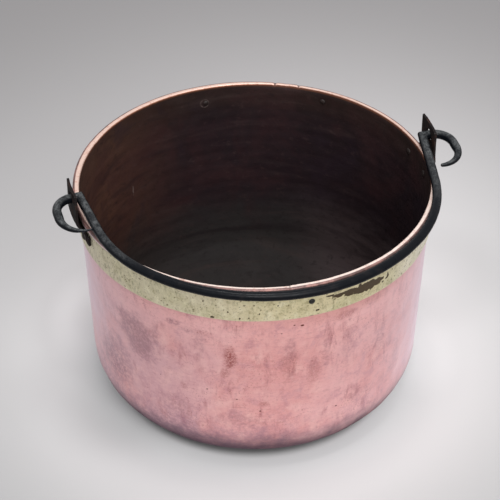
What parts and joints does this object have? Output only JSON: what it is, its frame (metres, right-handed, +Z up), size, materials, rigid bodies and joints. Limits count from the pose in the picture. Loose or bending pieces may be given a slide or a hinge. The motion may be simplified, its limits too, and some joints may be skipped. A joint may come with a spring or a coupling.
{
  "type": "copper boiling pot",
  "caption": "Round copper boiling pot with a flat base, its lip folded over a brass band, riveted iron ears and a swinging hooked iron bail.",
  "frame": {"origin": "middle of the flat underside, on the pot's axis", "axes": "+Z up along the pot's axis, +X towards the ear beside the blunt hook, -Y towards the side that the bail is folded down to"},
  "size_m": [0.431, 0.3834, 0.2809],
  "materials": {
    "copper": "hammered, dull with wear",
    "brass": "pitted, half bright",
    "iron": "forged, dark and rubbed",
    "rivet_iron": "dark"
  },
  "bodies": {
    "pot": {"copper_vessel": "copper", "brass_band": "brass", "ear_right": "iron", "ear_left": "iron", "ear_rivet_right_front": "rivet_iron", "ear_rivet_right_back": "rivet_iron", "ear_rivet_left_front": "rivet_iron", "ear_rivet_left_back": "rivet_iron", "band_rivet_front": "rivet_iron", "band_rivet_back": "rivet_iron", "band_rivet_back_right": "rivet_iron"},
    "bail": {"bail": "iron"}
  },
  "joints": [
    {"name": "bail_swing", "type": "hinge", "parent": "pot", "child": "bail", "pos_m": [0, 0, 0.265], "axis": [-1, 0, 0], "range_deg": [0, 191.3]}
  ]
}
